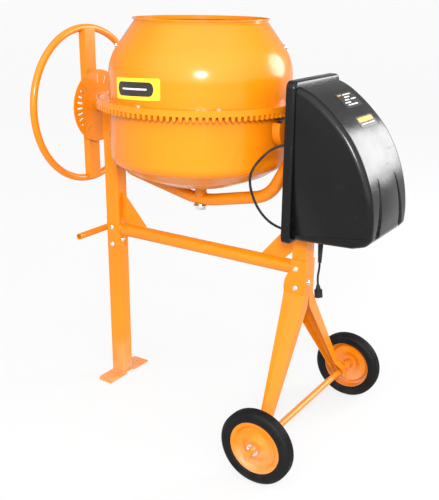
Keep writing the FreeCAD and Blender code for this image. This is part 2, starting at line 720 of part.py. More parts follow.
def ring_gear():
    ring = body("ring_blank")
    sketch = outline(ring, [
        ("Dims.ring_inner", "Dims.ring_low"), ("Dims.ring_radius", "Dims.ring_low"),
        ("Dims.ring_radius", "Dims.ring_top"), ("Dims.ring_radius - 6", "Dims.ring_top"),
        ("Dims.ring_radius - 6", "Dims.ring_top - 6"), ("Dims.ring_inner", "Dims.ring_top - 6"),
    ])
    spin(ring, sketch)
    toothed(ring, [
        ("-5.8", "Dims.ring_low + 1"), ("-4", "Dims.tooth_tip + 4"), ("-2.2", "Dims.tooth_tip"),
        ("2.2", "Dims.tooth_tip"), ("4", "Dims.tooth_tip + 4"), ("5.8", "Dims.ring_low + 1"),
    ], "Dims.ring_radius - Dims.tooth_inner - 0.5", "Dims.ring_teeth", "Dims.tooth_inner", 0)
    sub_part(cut(ring, *flange_rods("3", "1071", "20")), "ring_gear")


def flange_rods(radius, low, length):
    rods = []
    for number in range(8):
        angle = math.radians(45 * number - 1)
        rods.append(rod(radius, length, 310 * math.cos(angle), 310 * math.sin(angle), low))
    return rods


def ring_gear_bolts():
    pieces = []
    for number, shank in enumerate(flange_rods("3", "1071", "15")):
        angle = math.radians(45 * number - 1)
        head = doc.addObject("Part::Prism", "head")
        bind(head, Circumradius="6", Height="4.5")
        head.Polygon = 6
        place(head, 310 * math.cos(angle), 310 * math.sin(angle), "Dims.ring_top")
        pieces.append(fuse(shank, head))
    sub_part(group(*pieces), "ring_gear_bolts")


def pinion():
    owner = body("pinion_blank")
    wide = "16"
    sketch = outline(owner, [
        ("Dims.drive_radius", "0"), ("Dims.pinion_root", "0"), ("Dims.pinion_root", wide),
        ("Dims.drive_radius", wide),
    ])
    spin(owner, sketch)
    tooth = owner.newObject("Sketcher::SketchObject", "tooth_outline")
    tooth.AttachmentSupport = [(plane_of(owner, "XY_Plane"), "")]
    tooth.MapMode = "FlatFace"
    corners = [("Dims.pinion_root - 1.5", "-4.4"), ("Dims.pinion_tip", "-1.6"),
               ("Dims.pinion_tip", "1.6"), ("Dims.pinion_root - 1.5", "4.4")]
    hold_corners(tooth, corners)
    pad = owner.newObject("PartDesign::Pad", "tooth")
    pad.Profile = tooth
    pad.setExpression("Length", wide)
    pattern = owner.newObject("PartDesign::PolarPattern", "teeth")
    pattern.Originals = [pad]
    pattern.Axis = (plane_of(owner, "Z_Axis"), [""])
    pattern.Angle = 360
    owner.Tip = pattern
    pattern.setExpression("Occurrences", "Dims.pinion_teeth")
    # local X must point half a tooth pitch away from straight up
    half_pitch = 180.0 / dim("pinion_teeth")
    along_x = FreeCAD.Rotation(V(0, 1, 0), 90)
    turn = FreeCAD.Rotation(V(1, 0, 0), half_pitch) * along_x * FreeCAD.Rotation(V(0, 0, 1), 180)
    place(owner, "301", "0", "Dims.tilt_height", turn)
    sub_part(owner, "pinion")


def drum_upper():
    wall = "Dims.sheet"
    shell = turned("upper_shell", [
        ("Dims.drum_radius", "Dims.ring_top"), ("Dims.drum_radius", "Dims.shoulder_height"),
        ("Dims.mouth_radius", "Dims.neck_height"), ("Dims.mouth_radius", "Dims.mouth_height - 4"),
        ("Dims.mouth_radius + 4", "Dims.mouth_height - 4"),
        ("Dims.mouth_radius + 4", "Dims.mouth_height"),
        (f"Dims.mouth_radius - {wall}", "Dims.mouth_height"),
        (f"Dims.mouth_radius - {wall}", "Dims.neck_height - 1"),
        (f"Dims.drum_radius - {wall}", "Dims.shoulder_height - 1"),
        (f"Dims.drum_radius - {wall}", f"Dims.ring_top - {wall}"),
        ("Dims.ring_radius - 8", f"Dims.ring_top - {wall}"),
        ("Dims.ring_radius - 8", "Dims.ring_top"),
    ])
    soften(shell, "150", ring_edge(dim("drum_radius"), dim("shoulder_height")))
    soften(shell, "147.5", ring_edge(dim("drum_radius") - dim("sheet"),
                                     dim("shoulder_height") - 1))
    holes = flange_rods("3", "1071", "30") + paddle_bolt_tools("3")
    sub_part(cut(shell, *holes), "drum_upper")


def drum_lower():
    wall = "Dims.sheet"
    out = "Dims.drum_radius + 1.5"
    low = "Dims.bowl_low"
    shell = turned("lower_shell", [
        (out, "Dims.ring_top - 6"), (out, low), ("225", "848"), ("130", "812"),
        ("72", "Dims.bowl_foot"), ("32", "Dims.bowl_foot"), ("32", f"Dims.bowl_foot + {wall}"),
        ("71.5", f"Dims.bowl_foot + {wall}"), ("129", f"812 + {wall}"), ("224", f"848 + {wall}"),
        (f"{out} - {wall}", f"{low} + 1.3"),
        (f"{out} - {wall}", f"Dims.ring_top - {wall}"), ("Dims.ring_radius - 10",
                                                        f"Dims.ring_top - {wall}"),
        ("Dims.ring_radius - 10", "Dims.ring_top - 6"),
    ])
    soften(shell, "32", ring_edge(dim("drum_radius") + 1.5, dim("bowl_low")))
    soften(shell, "29.5", ring_edge(dim("drum_radius") + 1.5 - dim("sheet"),
                                    dim("bowl_low") + 1.3))
    soften(shell, "60", ring_edge(225, 848))
    soften(shell, "60", ring_edge(130, 812))
    sub_part(cut(shell, *flange_rods("3", "1071", "30")), "drum_lower")


def drum_hub():
    hub = turned("hub_blank", [
        ("20", "Dims.bowl_foot - 1"), ("32", "Dims.bowl_foot - 1"),
        ("32", "Dims.bowl_foot + Dims.sheet"), ("68", "Dims.bowl_foot + Dims.sheet"),
        ("68", "Dims.bowl_foot + Dims.sheet + 5"), ("36", "Dims.bowl_foot + Dims.sheet + 8"),
        ("30", "903"), ("0", "903"), ("0", "899"), ("20", "899"),
    ])
    sub_part(hub, "drum_hub")
    rings = []
    for low in ("Dims.bowl_foot + 1", "882"):
        rings.append(tube("20", "Dims.shaft_radius + Dims.running_gap", "14", "0", "0", low))
    sub_part(group(*rings), "drum_bearings")


def paddle_turns():
    return (32.0, 212.0)


def paddle_bolt_tools(radius):
    # two bolts through the cone for each mixing paddle, square to its surface
    rods = []
    slope = math.atan2(dim("neck_height") - dim("shoulder_height"),
                       dim("drum_radius") - dim("mouth_radius"))
    normal = V(math.sin(slope), 0, math.cos(slope))
    for turn in paddle_turns():
        about = FreeCAD.Rotation(V(0, 0, 1), turn)
        for shift in (-12, 12):
            height = 1238
            radius_here = dim("mouth_radius") + (dim("neck_height") - height) / math.tan(slope)
            start = about.multVec(V(radius_here, shift, height) - normal * 12)
            rods.append(aimed_rod(radius, 18, start, about.multVec(normal)))
    return rods


def aimed_rod(radius, length, start, direction):
    obj = doc.addObject("Part::Cylinder", "aimed_rod")
    bind(obj, Radius=radius, Height=length)
    obj.Placement = FreeCAD.Placement(start, FreeCAD.Rotation(V(0, 0, 1), direction))
    return obj


def paddles():
    # flat bar standing off the bowl wall, cranked to follow the drum from bowl to cone
    for label, turn in zip(("paddle_a", "paddle_b"), paddle_turns()):
        owner = body(label)
        sketch = outline(owner, [
            ("236", "884"), ("268", "900"), ("284", "935"), ("284", "1140"), ("282", "1165"),
            ("278.5", "1188"), ("269", "1215"), ("254.8", "1243"), ("238", "1230"),
            ("226", "1180"), ("226", "935"),
        ])
        pad = owner.newObject("PartDesign::Pad", "blade")
        pad.Profile = sketch
        pad.setExpression("Length", "4")
        pad.SideType = "Symmetric"
        owner.Placement = FreeCAD.Placement(V(0, 0, 0), FreeCAD.Rotation(V(0, 0, 1), turn))
        owner.setExpression("Placement.Base.x", "0")
        sub_part(owner, label)


def paddle_bolts():
    slope = math.atan2(dim("neck_height") - dim("shoulder_height"),
                       dim("drum_radius") - dim("mouth_radius"))
    normal = V(math.sin(slope), 0, math.cos(slope))
    pieces = []
    for shank, turn in zip(paddle_bolt_tools("3"), (32.0, 32.0, 212.0, 212.0)):
        direction = FreeCAD.Rotation(V(0, 0, 1), turn).multVec(normal)
        start = shank.Placement.Base + direction * 12
        shank.setExpression("Height", "12")
        pieces.append(fuse(shank, aimed_rod("8", "3", start, direction)))
    sub_part(group(*pieces), "paddle_bolts")


def yoke():
    route = doc.addObject("Part::Feature", "yoke_route")
    left = dim("left_arm_x")
    right = dim("right_arm_x")
    low = dim("yoke_low")
    route.Shape = rounded_route([
        V(left, 0, 1040), V(left, 0, low + 64), V(0, 0, low - 8), V(262, 0, low + 46),
        V(right, 0, 935), V(right, 0, dim("tilt_height")),
    ], [50, 300, 110, 70])
    tube_blank = swept_tube(route, "Dims.arm_radius", "Dims.arm_radius - Dims.tube_wall")
    centre_hole = rod("Dims.shaft_radius", "60", "0", "0", "Dims.yoke_low - 30")
    seat = rod("Dims.arm_radius", "60", "310", "0", "Dims.tilt_height", "X")
    sub_part(cut(tube_blank, centre_hole, seat), "yoke_tube")
    boss = tube("19.5", "Dims.shaft_radius", "48", "0", "0", "Dims.yoke_low")
    sub_part(cut(boss, swept_rod(route, "Dims.arm_radius")), "yoke_boss")
    shaft = rod("Dims.shaft_radius", "187", "0", "0", "Dims.yoke_low - 38")
    sub_part(shaft, "drum_shaft")
    left_shaft = rod("Dims.trunnion_radius", "Dims.left_arm_x - Dims.spoke_x_end", "Dims.spoke_x_end",
                     "0", "Dims.tilt_height", "X")
    arm_clear = rod("Dims.arm_radius", "80", "Dims.left_arm_x", "0", "Dims.tilt_height - 40")
    sub_part(cut(left_shaft, arm_clear), "left_trunnion")
    sleeve = tube("Dims.arm_radius", "Dims.drive_radius + Dims.running_gap", "91", "322", "0",
                  "Dims.tilt_height", "X")
    sub_part(sleeve, "right_trunnion")


def shaft_fasteners():
    # washer and nut below the yoke, and the retaining ring at the handwheel's end
    nut = doc.addObject("Part::Prism", "nut")
    bind(nut, Circumradius="19", Height="11")
    nut.Polygon = 6
    place(nut, "0", "0", "Dims.yoke_low - 37")
    nut = cut(nut, rod("Dims.shaft_radius", "11", "0", "0", "Dims.yoke_low - 37"))
    washer = tube("24", "Dims.shaft_radius", "4", "0", "0", "Dims.yoke_low - 25.8")
    retainer = tube("20", "Dims.trunnion_radius", "4", "Dims.spoke_x_end + 2", "0",
                    "Dims.tilt_height", "X")
    sub_part(group(nut, washer, retainer), "shaft_fasteners")


def pinion_guard():
    # orange sheet cup round the lower part of the pinion
    cup = tube("58", "56", "25", "296", "0", "Dims.tilt_height", "X")
    ends = [tube("56", "12", "2", x, "0", "Dims.tilt_height", "X") for x in ("296", "319")]
    open_top = bar("60", "140", "60", "280", "-70", "Dims.tilt_height + 20")
    sub_part(cut(fuse(cup, *ends), open_top), "pinion_guard")


def handwheel():
    rim = torus("Dims.hand_radius", "Dims.hand_tube", "Dims.wheel_plane", "0",
                "Dims.tilt_height", "X")
    hollow = torus("Dims.hand_radius", "Dims.hand_tube - 1.8", "Dims.wheel_plane", "0",
                   "Dims.tilt_height", "X")
    sub_part(cut(rim, hollow), "handwheel_rim")
    web_right = "Dims.spoke_x"
    web_left = "Dims.spoke_x - Dims.spoke_wall"
    back = "Dims.spoke_x - Dims.spoke_deep"
    inner = "Dims.spoke_half - Dims.spoke_wall"
    span = "Dims.hand_radius + 8"
    spoke = plate("spoke", [
        (web_right, "-Dims.spoke_half"), (web_right, "Dims.spoke_half"),
        (back, "Dims.spoke_half"), (back, inner), (web_left, inner), (web_left, f"-({inner})"),
        (back, f"-({inner})"), (back, "-Dims.spoke_half"),
    ], f"2 * ({span})", "XY_Plane", f"Dims.tilt_height - ({span})", midplane=False)
    clear = torus("Dims.hand_radius", "Dims.hand_tube", "Dims.wheel_plane", "0",
                  "Dims.tilt_height", "X")
    outside = tube("Dims.hand_radius + 60", "Dims.hand_radius", "60", "Dims.spoke_x - 40", "0",
                   "Dims.tilt_height", "X")
    shaft_hole = rod("Dims.trunnion_radius + 1", "10", "Dims.spoke_x - 5", "0",
                     "Dims.tilt_height", "X")
    sub_part(cut(spoke, clear, outside, shaft_hole), "handwheel_spoke")
    hub = tube("19", "Dims.trunnion_radius + Dims.running_gap", "8", "Dims.spoke_x", "0",
               "Dims.tilt_height", "X")
    sub_part(hub, "handwheel_hub")
    tooth = bar("Dims.disc_x - Dims.spoke_x - 1.5", "5", "20", "Dims.spoke_x", "-2.5",
                "Dims.tilt_height + 84")
    sub_part(tooth, "lock_tooth")


def release_spring():
    helix = doc.addObject("Part::Helix", "spring_line")
    bind(helix, Pitch="4.1", Height="16.4", Radius="15.5")
    section = doc.addObject("Part::Circle", "wire_section")
    bind(section, Radius="1")
    section.Placement = FreeCAD.Placement(V(15.5, 0, 0), FreeCAD.Rotation(V(1, 0, 0), 90))
    sweep = doc.addObject("Part::Sweep", "spring")
    sweep.Sections = [section]
    doc.recompute()
    sweep.Spine = (helix, ["Edge1"])
    sweep.Solid = True
    sweep.Frenet = True
    coil = group(sweep)
    place(coil, "Dims.spoke_x_end + 7.2", "0", "Dims.tilt_height", "X")
    sub_part(coil, "release_spring")


def belt():
    # flat loop round both pulleys, 0.4 mm off their treads
    high = dim("tilt_height")
    low = dim("motor_height")
    shapes = []
    for reach, width in ((4.4, 11.4), (0.4, 12.4)):
        big = dim("pulley_radius") + reach
        small = dim("small_pulley") + reach
        lean = math.asin((big - small) / (high - low))
        along = V(0, math.cos(lean), -math.sin(lean))
        top = V(0, 0, high)
        foot = V(0, 0, low)
        mirror = V(0, -along.y, along.z)
        points = [top + along * big, top + V(0, 0, big), top + mirror * big,
                  foot + mirror * small, foot + V(0, 0, -small), foot + along * small]
        edges = [Part.Arc(points[0], points[1], points[2]).toShape(),
                 Part.LineSegment(points[2], points[3]).toShape(),
                 Part.Arc(points[3], points[4], points[5]).toShape(),
                 Part.LineSegment(points[5], points[0]).toShape()]
        face = Part.Face(Part.Wire(edges))
        blank = doc.addObject("Part::Feature", "belt_face")
        blank.Shape = face
        run = doc.addObject("Part::Extrusion", "belt_run")
        run.Base = blank
        run.Dir = V(1, 0, 0)
        run.DirMode = "Custom"
        run.Solid = True
        bind(run, LengthFwd=width)
        start = (dim("pulley_wide") - width) / 2
        run.Placement = FreeCAD.Placement(V(dim("pulley_x") + start, 0, 0), FreeCAD.Rotation())
        shapes.append(run)
    sub_part(cut(*shapes), "drive_belt")


def switch():
    # switch box on the back of the housing's far side, with a rocker
    box = bar("44", "16", "70", "470", "Dims.shell_half", "850")
    well = bar("24", "15", "40", "480", "Dims.shell_half + 3", "865")
    sub_part(cut(box, well), "switch_body")
    owner = plate("rocker", [("-7", "-18"), ("7", "-18"), ("7", "18"), ("-7", "18")], "22",
                  "YZ_Plane")
    place(owner, "492", "Dims.shell_half + 14.4", "885")
    pivot = rod("2.5", "23.6", "480.2", "Dims.shell_half + 14.4", "885", "X")
    sub_part(fuse(owner, pivot), "switch_rocker")


def leads():
    glands = []
    for y, z in lead_holes():
        glands.append(tube("9", "3.8", "9", "Dims.panel_x - 12", y, z, "X"))
        glands.append(tube("6", "3.8", "7", "Dims.panel_x - 3", y, z, "X"))
    sub_part(group(fuse(*glands[:2]), fuse(*glands[2:])), "lead_glands")
    (y_high, z_high), (y_low, z_low) = [tuple(float(c) for c in hole) for hole in lead_holes()]
    route = doc.addObject("Part::Feature", "harness_route")
    inside = dim("panel_x") + 4
    route.Shape = rounded_route([
        V(inside, y_high, z_high), V(352, y_high, z_high), V(309, -196, 930), V(301, -190, 868),
        V(322, -164, 790), V(350, y_low, z_low), V(inside, y_low, z_low),
    ], [40, 60, 110, 60, 35])
    sub_part(swept_rod(route, "3.8"), "harness_lead")
    cords.append(("harness_lead", route, 3.8))


def power_cord():
    top = V(464, -34, 626)
    relief = fuse(cone("5.5", "9", "80", top.x, top.y, top.z),
                  rod("12", "3", top.x, top.y, "721"), rod("9", "18", top.x, top.y, "704"))
    sub_part(cut(relief, rod("3.2", "110", top.x, top.y, top.z)), "strain_relief")
    route = doc.addObject("Part::Feature", "cord_route")
    points = [top, V(464, -34, 603), V(459, -34, 578), V(463, -36, 554)]
    route.Shape = rounded_route(points, cord_bends(points))
    sub_part(swept_rod(route, "3.3"), "power_cord")
    cords.append(("power_cord", route, 3.3))
    end = points[-1]
    way = (points[-1] - points[-2]).normalize()
    turn = FreeCAD.Rotation(V(0, 0, 1), way)
    neck = aimed(cone("4.5", "9", "16"), end, turn)
    grip = aimed(rod("12.5", "24"), end + way * 16, turn)
    sub_part(fuse(neck, grip), "plug")
    pins = []
    for shift in (-9.5, 9.5):
        base = end + way * 40 + turn.multVec(V(shift, 0, 0))
        pins.append(aimed(rod("2.2", "17"), base, turn))
    sub_part(group(*pins), "plug_pins")


def aimed(obj, base, turn):
    for path in ("x", "y", "z"):
        obj.setExpression(f"Placement.Base.{path}", None)
    obj.Placement = FreeCAD.Placement(base, turn)
    return obj


def cord_bends(points):
    bends = []
    for before, here, after in zip(points, points[1:], points[2:]):
        turn = (here - before).getAngle(after - here)
        bends.append(0.45 * min((here - before).Length, (after - here).Length) / math.tan(turn / 2))
    return bends


def build():
    foot_plate()
    left_legs()
    left_leg_bolts()
    crossbar_and_gussets()
    push_handle()
    locking_disc()
    trunnion_bearings()
    right_post()
    post_bolts()
    wheel_leg("near_wheel_leg", -1)
    wheel_leg("far_wheel_leg", 1)
    axle()
    wheel_retainers()
    road_wheel("near_wheel", -1)
    road_wheel("far_wheel", 1)
    housing_cover()
    housing_back()
    housing_screws()
    motor()
    motor_bracket()
    rotor()
    drive_train()
    pinion()
    belt()
    switch()
    leads()
    power_cord()
    ring_gear()
    ring_gear_bolts()
    drum_upper()
    drum_lower()
    drum_hub()
    paddles()
    paddle_bolts()
    yoke()
    shaft_fasteners()
    pinion_guard()
    handwheel()
    release_spring()


def print_cord(label, route, radius):
    # bend radii of a free cord, and its volume against section times length
    bends = [round(edge.Curve.Radius, 1) for edge in route.Shape.Edges
             if edge.Curve.TypeId == "Part::GeomCircle"]
    solid = next(obj for obj in sub_parts if obj.Label == label)
    length = route.Shape.Length
    ratio = solid.Shape.Volume / (math.pi * radius ** 2 * length)
    print(label, "bends", bends, "length", round(length, 1), "volume ratio", round(ratio, 4))


def write_out():
    doc.recompute()
    faults = []
    for obj in doc.Objects:
        if "Invalid" in obj.State or "Error" in obj.State:
            faults.append(f"{obj.Name} ({obj.Label}) {obj.State}")
    for obj in sub_parts:
        if obj.Shape.isNull() or not obj.Shape.isValid() or not obj.Shape.Solids:
            faults.append(f"{obj.Label} has no valid solid")
    if faults:
        raise RuntimeError("; ".join(faults))
    for obj in sub_parts:
        obj.Shape.exportStep(f"parts/{obj.Label}.step")
        print(obj.Label, len(obj.Shape.Solids), round(obj.Shape.Volume))
    print(len(sub_parts), "sub-parts")
    for label, route, radius in cords:
        print_cord(label, route, radius)


build()
write_out()
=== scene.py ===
import math

import bmesh
import bpy
from mathutils import Matrix, Vector


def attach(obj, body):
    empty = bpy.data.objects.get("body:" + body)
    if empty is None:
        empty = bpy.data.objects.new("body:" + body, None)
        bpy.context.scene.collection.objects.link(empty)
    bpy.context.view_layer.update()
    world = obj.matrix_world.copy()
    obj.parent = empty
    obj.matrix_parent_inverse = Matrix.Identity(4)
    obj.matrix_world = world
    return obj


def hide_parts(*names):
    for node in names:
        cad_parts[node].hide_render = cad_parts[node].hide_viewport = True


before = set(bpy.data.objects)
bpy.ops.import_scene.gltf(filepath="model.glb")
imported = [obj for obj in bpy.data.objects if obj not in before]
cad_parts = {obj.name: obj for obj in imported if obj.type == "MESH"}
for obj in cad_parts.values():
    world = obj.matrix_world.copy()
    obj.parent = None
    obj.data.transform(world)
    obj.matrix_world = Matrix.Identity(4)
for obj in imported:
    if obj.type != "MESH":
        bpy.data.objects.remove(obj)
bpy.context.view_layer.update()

SCENE = bpy.context.scene

# The drum's centre line lies this far from the origin along X, and at() counts X from it.
SHIFT = -0.082
TILT_HEIGHT = 1.016
WHEEL_X = 0.429
WHEEL_RADIUS = 0.120
WHEEL_MIDDLE = 0.325

CAMERA_PLACE = (1.3421, -2.0565, 1.4188)
CAMERA_YAW, CAMERA_PITCH, CAMERA_ROLL = 0.569341, 0.345032, 0.013217
SENSOR_WIDTH = 36
FLOOR_REACH = 200.0

# name, place, target, size, power
LAMPS = (
    ("front_lamp", (1.55, -2.35, 1.95), (0.0, 0, 1.0), 0.55, 100),
    ("rim_lamp", (2.3, 3.2, 2.1), (0.3, 0, 0.9), 2.2, 140),
)


def at(x, y, z):
    """A point given from the drum's centre line, in the row frame."""
    return Vector((x + SHIFT, y, z))


# ---------------------------------------------------------------- camera, floor and light

def add_camera():
    level = math.cos(CAMERA_PITCH)
    forward = Vector((-math.sin(CAMERA_YAW) * level, math.cos(CAMERA_YAW) * level,
                      -math.sin(CAMERA_PITCH)))
    right = Vector((math.cos(CAMERA_YAW), math.sin(CAMERA_YAW), 0))
    up = right.cross(forward)
    side = right * math.cos(CAMERA_ROLL) + up * math.sin(CAMERA_ROLL)
    top = up * math.cos(CAMERA_ROLL) - right * math.sin(CAMERA_ROLL)
    camera = bpy.data.objects.new("camera", bpy.data.cameras.new("camera"))
    SCENE.collection.objects.link(camera)
    turn = Matrix((side, top, -forward)).transposed().to_4x4()
    camera.matrix_world = Matrix.Translation(CAMERA_PLACE) @ turn
    camera.data.sensor_width = SENSOR_WIDTH
    camera.data.lens = 55.70
    camera.data.shift_x = -0.0156
    camera.data.shift_y = 0.0258
    camera.data.clip_end = 500
    SCENE.camera = camera


def area_light(name, place, target, size, power):
    data = bpy.data.lights.new(name, "AREA")
    data.shape = "DISK"
    data.size = size
    data.energy = power
    light = bpy.data.objects.new(name, data)
    SCENE.collection.objects.link(light)
    light.location = place
    way = Vector(target) - Vector(place)
    light.rotation_mode = "QUATERNION"
    light.rotation_quaternion = way.to_track_quat("-Z", "Y")


def add_stage():
    world = bpy.data.worlds.new("studio")
    SCENE.world = world
    world.use_nodes = True
    soft_sky(world.node_tree)
    for lamp in LAMPS:
        area_light(*lamp)
    mesh = bpy.data.meshes.new("floor")
    corners = [(x * FLOOR_REACH, y * FLOOR_REACH, 0)
               for x, y in ((-1, -1), (1, -1), (1, 1), (-1, 1))]
    mesh.from_pydata(corners, [], [(0, 1, 2, 3)])
    floor = bpy.data.objects.new("floor", mesh)
    SCENE.collection.objects.link(floor)
    mesh.materials.append(plain_floor())


def soft_sky(tree):
    """A white surround, brightest high up in front and on the right, like one big softbox."""
    background = tree.nodes["Background"]
    background.inputs["Color"].default_value = (1, 1, 1, 1)
    place = tree.nodes.new("ShaderNodeTexCoord")
    facing = tree.nodes.new("ShaderNodeVectorMath")
    facing.operation = "DOT_PRODUCT"
    facing.inputs[1].default_value = Vector((0.50, -0.72, 0.48)).normalized()
    level = tree.nodes.new("ShaderNodeMapRange")
    level.interpolation_type = "SMOOTHSTEP"
    for name, value in (("From Min", 0.0), ("From Max", 1.0), ("To Min", 0.55), ("To Max", 3.2)):
        level.inputs[name].default_value = value
    tree.links.new(place.outputs["Generated"], facing.inputs[0])
    tree.links.new(facing.outputs["Value"], level.inputs["Value"])
    tree.links.new(level.outputs["Result"], background.inputs["Strength"])


def plain_floor():
    made = bpy.data.materials.new("pale_floor")
    made.use_nodes = True
    shader = made.node_tree.nodes["Principled BSDF"]
    shader.inputs["Base Color"].default_value = (0.10, 0.10, 0.10, 1)
    shader.inputs["Roughness"].default_value = 0.75
    shader.inputs["Specular IOR Level"].default_value = 0.15
    shader.inputs["Emission Color"].default_value = (1, 1, 1, 1)
    shader.inputs["Emission Strength"].default_value = 0.76
    return made


# ---------------------------------------------------------------- materials

class Graph:
    """A small helper that adds nodes to one material and joins them."""

    def __init__(self, name):
        self.material = bpy.data.materials.new(name)
        self.material.use_nodes = True
        self.tree = self.material.node_tree
        self.shader = self.tree.nodes["Principled BSDF"]
        self.place = self.node("ShaderNodeTexCoord").outputs["Object"]

    def node(self, kind, **settings):
        made = self.tree.nodes.new(kind)
        for name, value in settings.items():
            setattr(made, name, value)
        return made

    def link(self, source, target):
        self.tree.links.new(source, target)

    def noise(self, scale, detail=2.0, stretch=None):
        node = self.node("ShaderNodeTexNoise")
        node.inputs["Scale"].default_value = scale
        node.inputs["Detail"].default_value = detail
        node.inputs["Roughness"].default_value = 0.5
        source = self.place
        if stretch:
            mapping = self.node("ShaderNodeMapping")
            mapping.inputs["Scale"].default_value = stretch
            self.link(self.place, mapping.inputs["Vector"])
            source = mapping.outputs["Vector"]
        self.link(source, node.inputs["Vector"])
        return node.outputs["Fac"]

    def spots(self, scale, low, high, stretch=None):
        """1 where the noise is above high, 0 below low."""
        return self.ranged(self.noise(scale, 3.0, stretch), low, high, 0.0, 1.0)

    def ranged(self, source, low, high, to_low, to_high):
        node = self.node("ShaderNodeMapRange")
        for name, value in (("From Min", low), ("From Max", high),
                            ("To Min", to_low), ("To Max", to_high)):
            node.inputs[name].default_value = value
        self.link(source, node.inputs["Value"])
        return node.outputs["Result"]

    def maths(self, operation, first, second):
        node = self.node("ShaderNodeMath", operation=operation)
        for index, value in enumerate((first, second)):
            if isinstance(value, (int, float)):
                node.inputs[index].default_value = value
            else:
                self.link(value, node.inputs[index])
        return node.outputs["Value"]

    def mixed(self, factor, first, second):
        node = self.node("ShaderNodeMix", data_type="RGBA")
        self.link(factor, node.inputs["Factor"])
        for index, value in ((6, first), (7, second)):
            if isinstance(value, tuple):
                node.inputs[index].default_value = (*value, 1)
            else:
                self.link(value, node.inputs[index])
        return node.outputs[2]

    def edges(self, radius):
        """1 on sharp outer and inner edges, 0 on flat faces."""
        bevel = self.node("ShaderNodeBevel", samples=4)
        bevel.inputs["Radius"].default_value = radius
        face = self.node("ShaderNodeNewGeometry")
        dot = self.node("ShaderNodeVectorMath", operation="DOT_PRODUCT")
        self.link(bevel.outputs["Normal"], dot.inputs[0])
        self.link(face.outputs["Normal"], dot.inputs[1])
        return self.ranged(dot.outputs["Value"], 0.98, 0.82, 0.0, 1.0)

    def height(self):
        split = self.node("ShaderNodeSeparateXYZ")
        self.link(self.place, split.inputs["Vector"])
        return split.outputs["Z"]

    def bump(self, source, strength, distance, before=None):
        node = self.node("ShaderNodeBump")
        node.inputs["Strength"].default_value = strength
        node.inputs["Distance"].default_value = distance
        self.link(source, node.inputs["Height"])
        if before is not None:
            self.link(before, node.inputs["Normal"])
        return node.outputs["Normal"]

    def finish(self, colour, roughness, normal=None, **sockets):
        self.link(colour, self.shader.inputs["Base Color"])
        self.link(roughness, self.shader.inputs["Roughness"])
        if normal is not None:
            self.link(normal, self.shader.inputs["Normal"])
        for name, value in sockets.items():
            socket = self.shader.inputs[name.replace("_", " ")]
            socket.default_value = value
        return self.material


def powder_coat(name, light, deep, worn):
    """Glossy powder coat with fine orange peel, soft colour drift, rubbed edges and floor dust."""
    g = Graph(name)
    drift = g.ranged(g.noise(2.6, 3.0), 0.3, 0.7, 0.0, 1.0)
    colour = g.mixed(drift, light, deep)
    specks = g.spots(340, 0.66, 0.74)
    colour = g.mixed(g.maths("MULTIPLY", specks, 0.16), colour, deep)
    rub = g.maths("MULTIPLY", g.edges(0.0022), g.spots(26, 0.42, 0.68))
    colour = g.mixed(g.maths("MULTIPLY", rub, 0.42), colour, worn)
    dust = g.maths("MULTIPLY", g.ranged(g.height(), 0.16, 0.0, 0.0, 0.30), g.spots(14, 0.3, 0.7))
    colour = g.mixed(dust, colour, (0.55, 0.50, 0.42))
    scuffs = g.spots(30, 0.60, 0.72, stretch=(1.0, 1.0, 0.16))
    rough = g.ranged(g.noise(9, 4.0), 0.3, 0.7, 0.20, 0.30)
    rough = g.maths("ADD", rough, g.maths("MULTIPLY", scuffs, 0.10))
    peel = g.bump(g.noise(420, 1.5), 0.10, 0.0004)
    return g.finish(colour, rough, g.bump(g.noise(7, 1.0), 0.16, 0.0016, peel),
                    Coat_Weight=0.16, Coat_Roughness=0.08, Specular_IOR_Level=0.20)


def zinc_plate(name, light, deep, rough_low, rough_high):
    g = Graph(name)
    flecks = g.node("ShaderNodeTexVoronoi")
    flecks.inputs["Scale"].default_value = 230
    g.link(g.place, flecks.inputs["Vector"])
    split = g.node("ShaderNodeSeparateColor")
    g.link(flecks.outputs["Color"], split.inputs["Color"])
    colour = g.mixed(g.maths("MULTIPLY", split.outputs["Red"], 0.55), light, deep)
    stain = g.spots(38, 0.52, 0.78)
    colour = g.mixed(g.maths("MULTIPLY", stain, 0.35), colour, (0.36, 0.33, 0.28))
    rough = g.ranged(g.noise(60, 3.0), 0.3, 0.7, rough_low, rough_high)
    return g.finish(colour, rough, g.bump(g.noise(500, 2.0), 0.12, 0.0003), Metallic=1.0)


def turned_steel(name, light, deep):
    g = Graph(name)
    lines = g.noise(60, 4.0, stretch=(14.0, 1.0, 1.0))
    colour = g.mixed(g.ranged(lines, 0.3, 0.7, 0.0, 1.0), light, deep)
    grease = g.spots(22, 0.55, 0.8)
    colour = g.mixed(g.maths("MULTIPLY", grease, 0.5), colour, (0.12, 0.10, 0.07))
    rough = g.ranged(lines, 0.3, 0.7, 0.22, 0.42)
    return g.finish(colour, rough, g.bump(lines, 0.15, 0.0003), Metallic=1.0)


